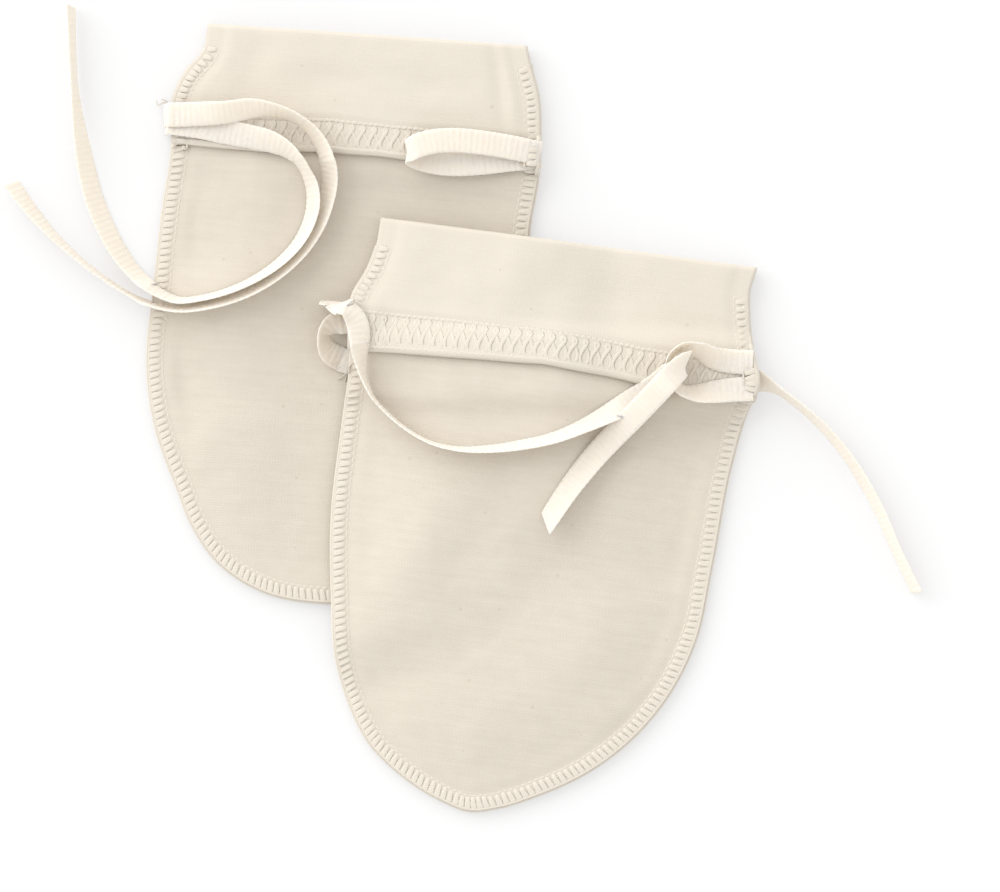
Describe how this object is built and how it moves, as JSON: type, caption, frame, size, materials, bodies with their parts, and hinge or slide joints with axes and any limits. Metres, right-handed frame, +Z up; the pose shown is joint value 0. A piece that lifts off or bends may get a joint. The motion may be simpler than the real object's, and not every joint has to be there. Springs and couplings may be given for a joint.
{
  "type": "pair of baby mittens",
  "caption": "Pair of thumbless newborn scratch mittens in cotton jersey, laid flat one partly on the other, with tape ties to close the cuffs.",
  "frame": {"origin": "on the table, under the middle of the two mittens without their loose tape tails", "axes": "+Z up from the table, +Y towards the cuffs, +X towards the side of the tape loops"},
  "size_m": [0.1921, 0.1686, 0.0151],
  "materials": {
    "jersey": "matt undyed cotton jersey with fine knit courses",
    "tie_tape": "matt cotton tape with crosswise ribs"
  },
  "bodies": {
    "root": {"rear_mitten_back_panel": "jersey", "rear_mitten_front_panel": "jersey", "rear_mitten_outer_tail": "tie_tape", "rear_mitten_inner_tail": "tie_tape", "rear_mitten_loop": "tie_tape", "front_mitten_back_panel": "jersey", "front_mitten_front_panel": "jersey", "front_mitten_threaded_tail": "tie_tape", "front_mitten_hidden_tail": "tie_tape", "front_mitten_loop": "tie_tape"}
  },
  "joints": []
}
